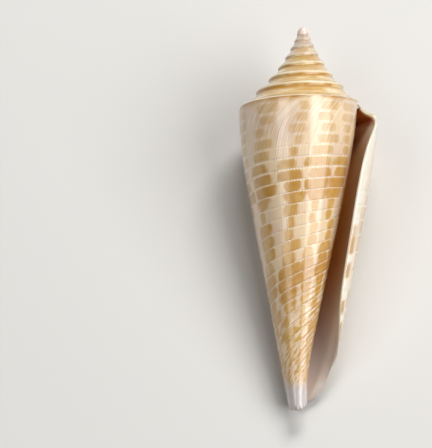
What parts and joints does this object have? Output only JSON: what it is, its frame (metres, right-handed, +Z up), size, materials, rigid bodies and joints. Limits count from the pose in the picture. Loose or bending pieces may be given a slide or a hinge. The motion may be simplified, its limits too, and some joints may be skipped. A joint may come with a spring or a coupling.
{
  "type": "cone shell",
  "caption": "Slender cone shell with a tall stepped spire, spiral grooves and a long narrow aperture, lying on its back.",
  "frame": {"origin": "middle of the bounding box at the surface that the shell lies on", "axes": "+Y along the shell's length, towards the spire; +Z up, on the side of the aperture; +X towards the outer lip"},
  "size_m": [0.016, 0.0442, 0.015],
  "materials": {
    "shell": "gloss"
  },
  "bodies": {
    "root": {"shell": "shell"}
  },
  "joints": []
}
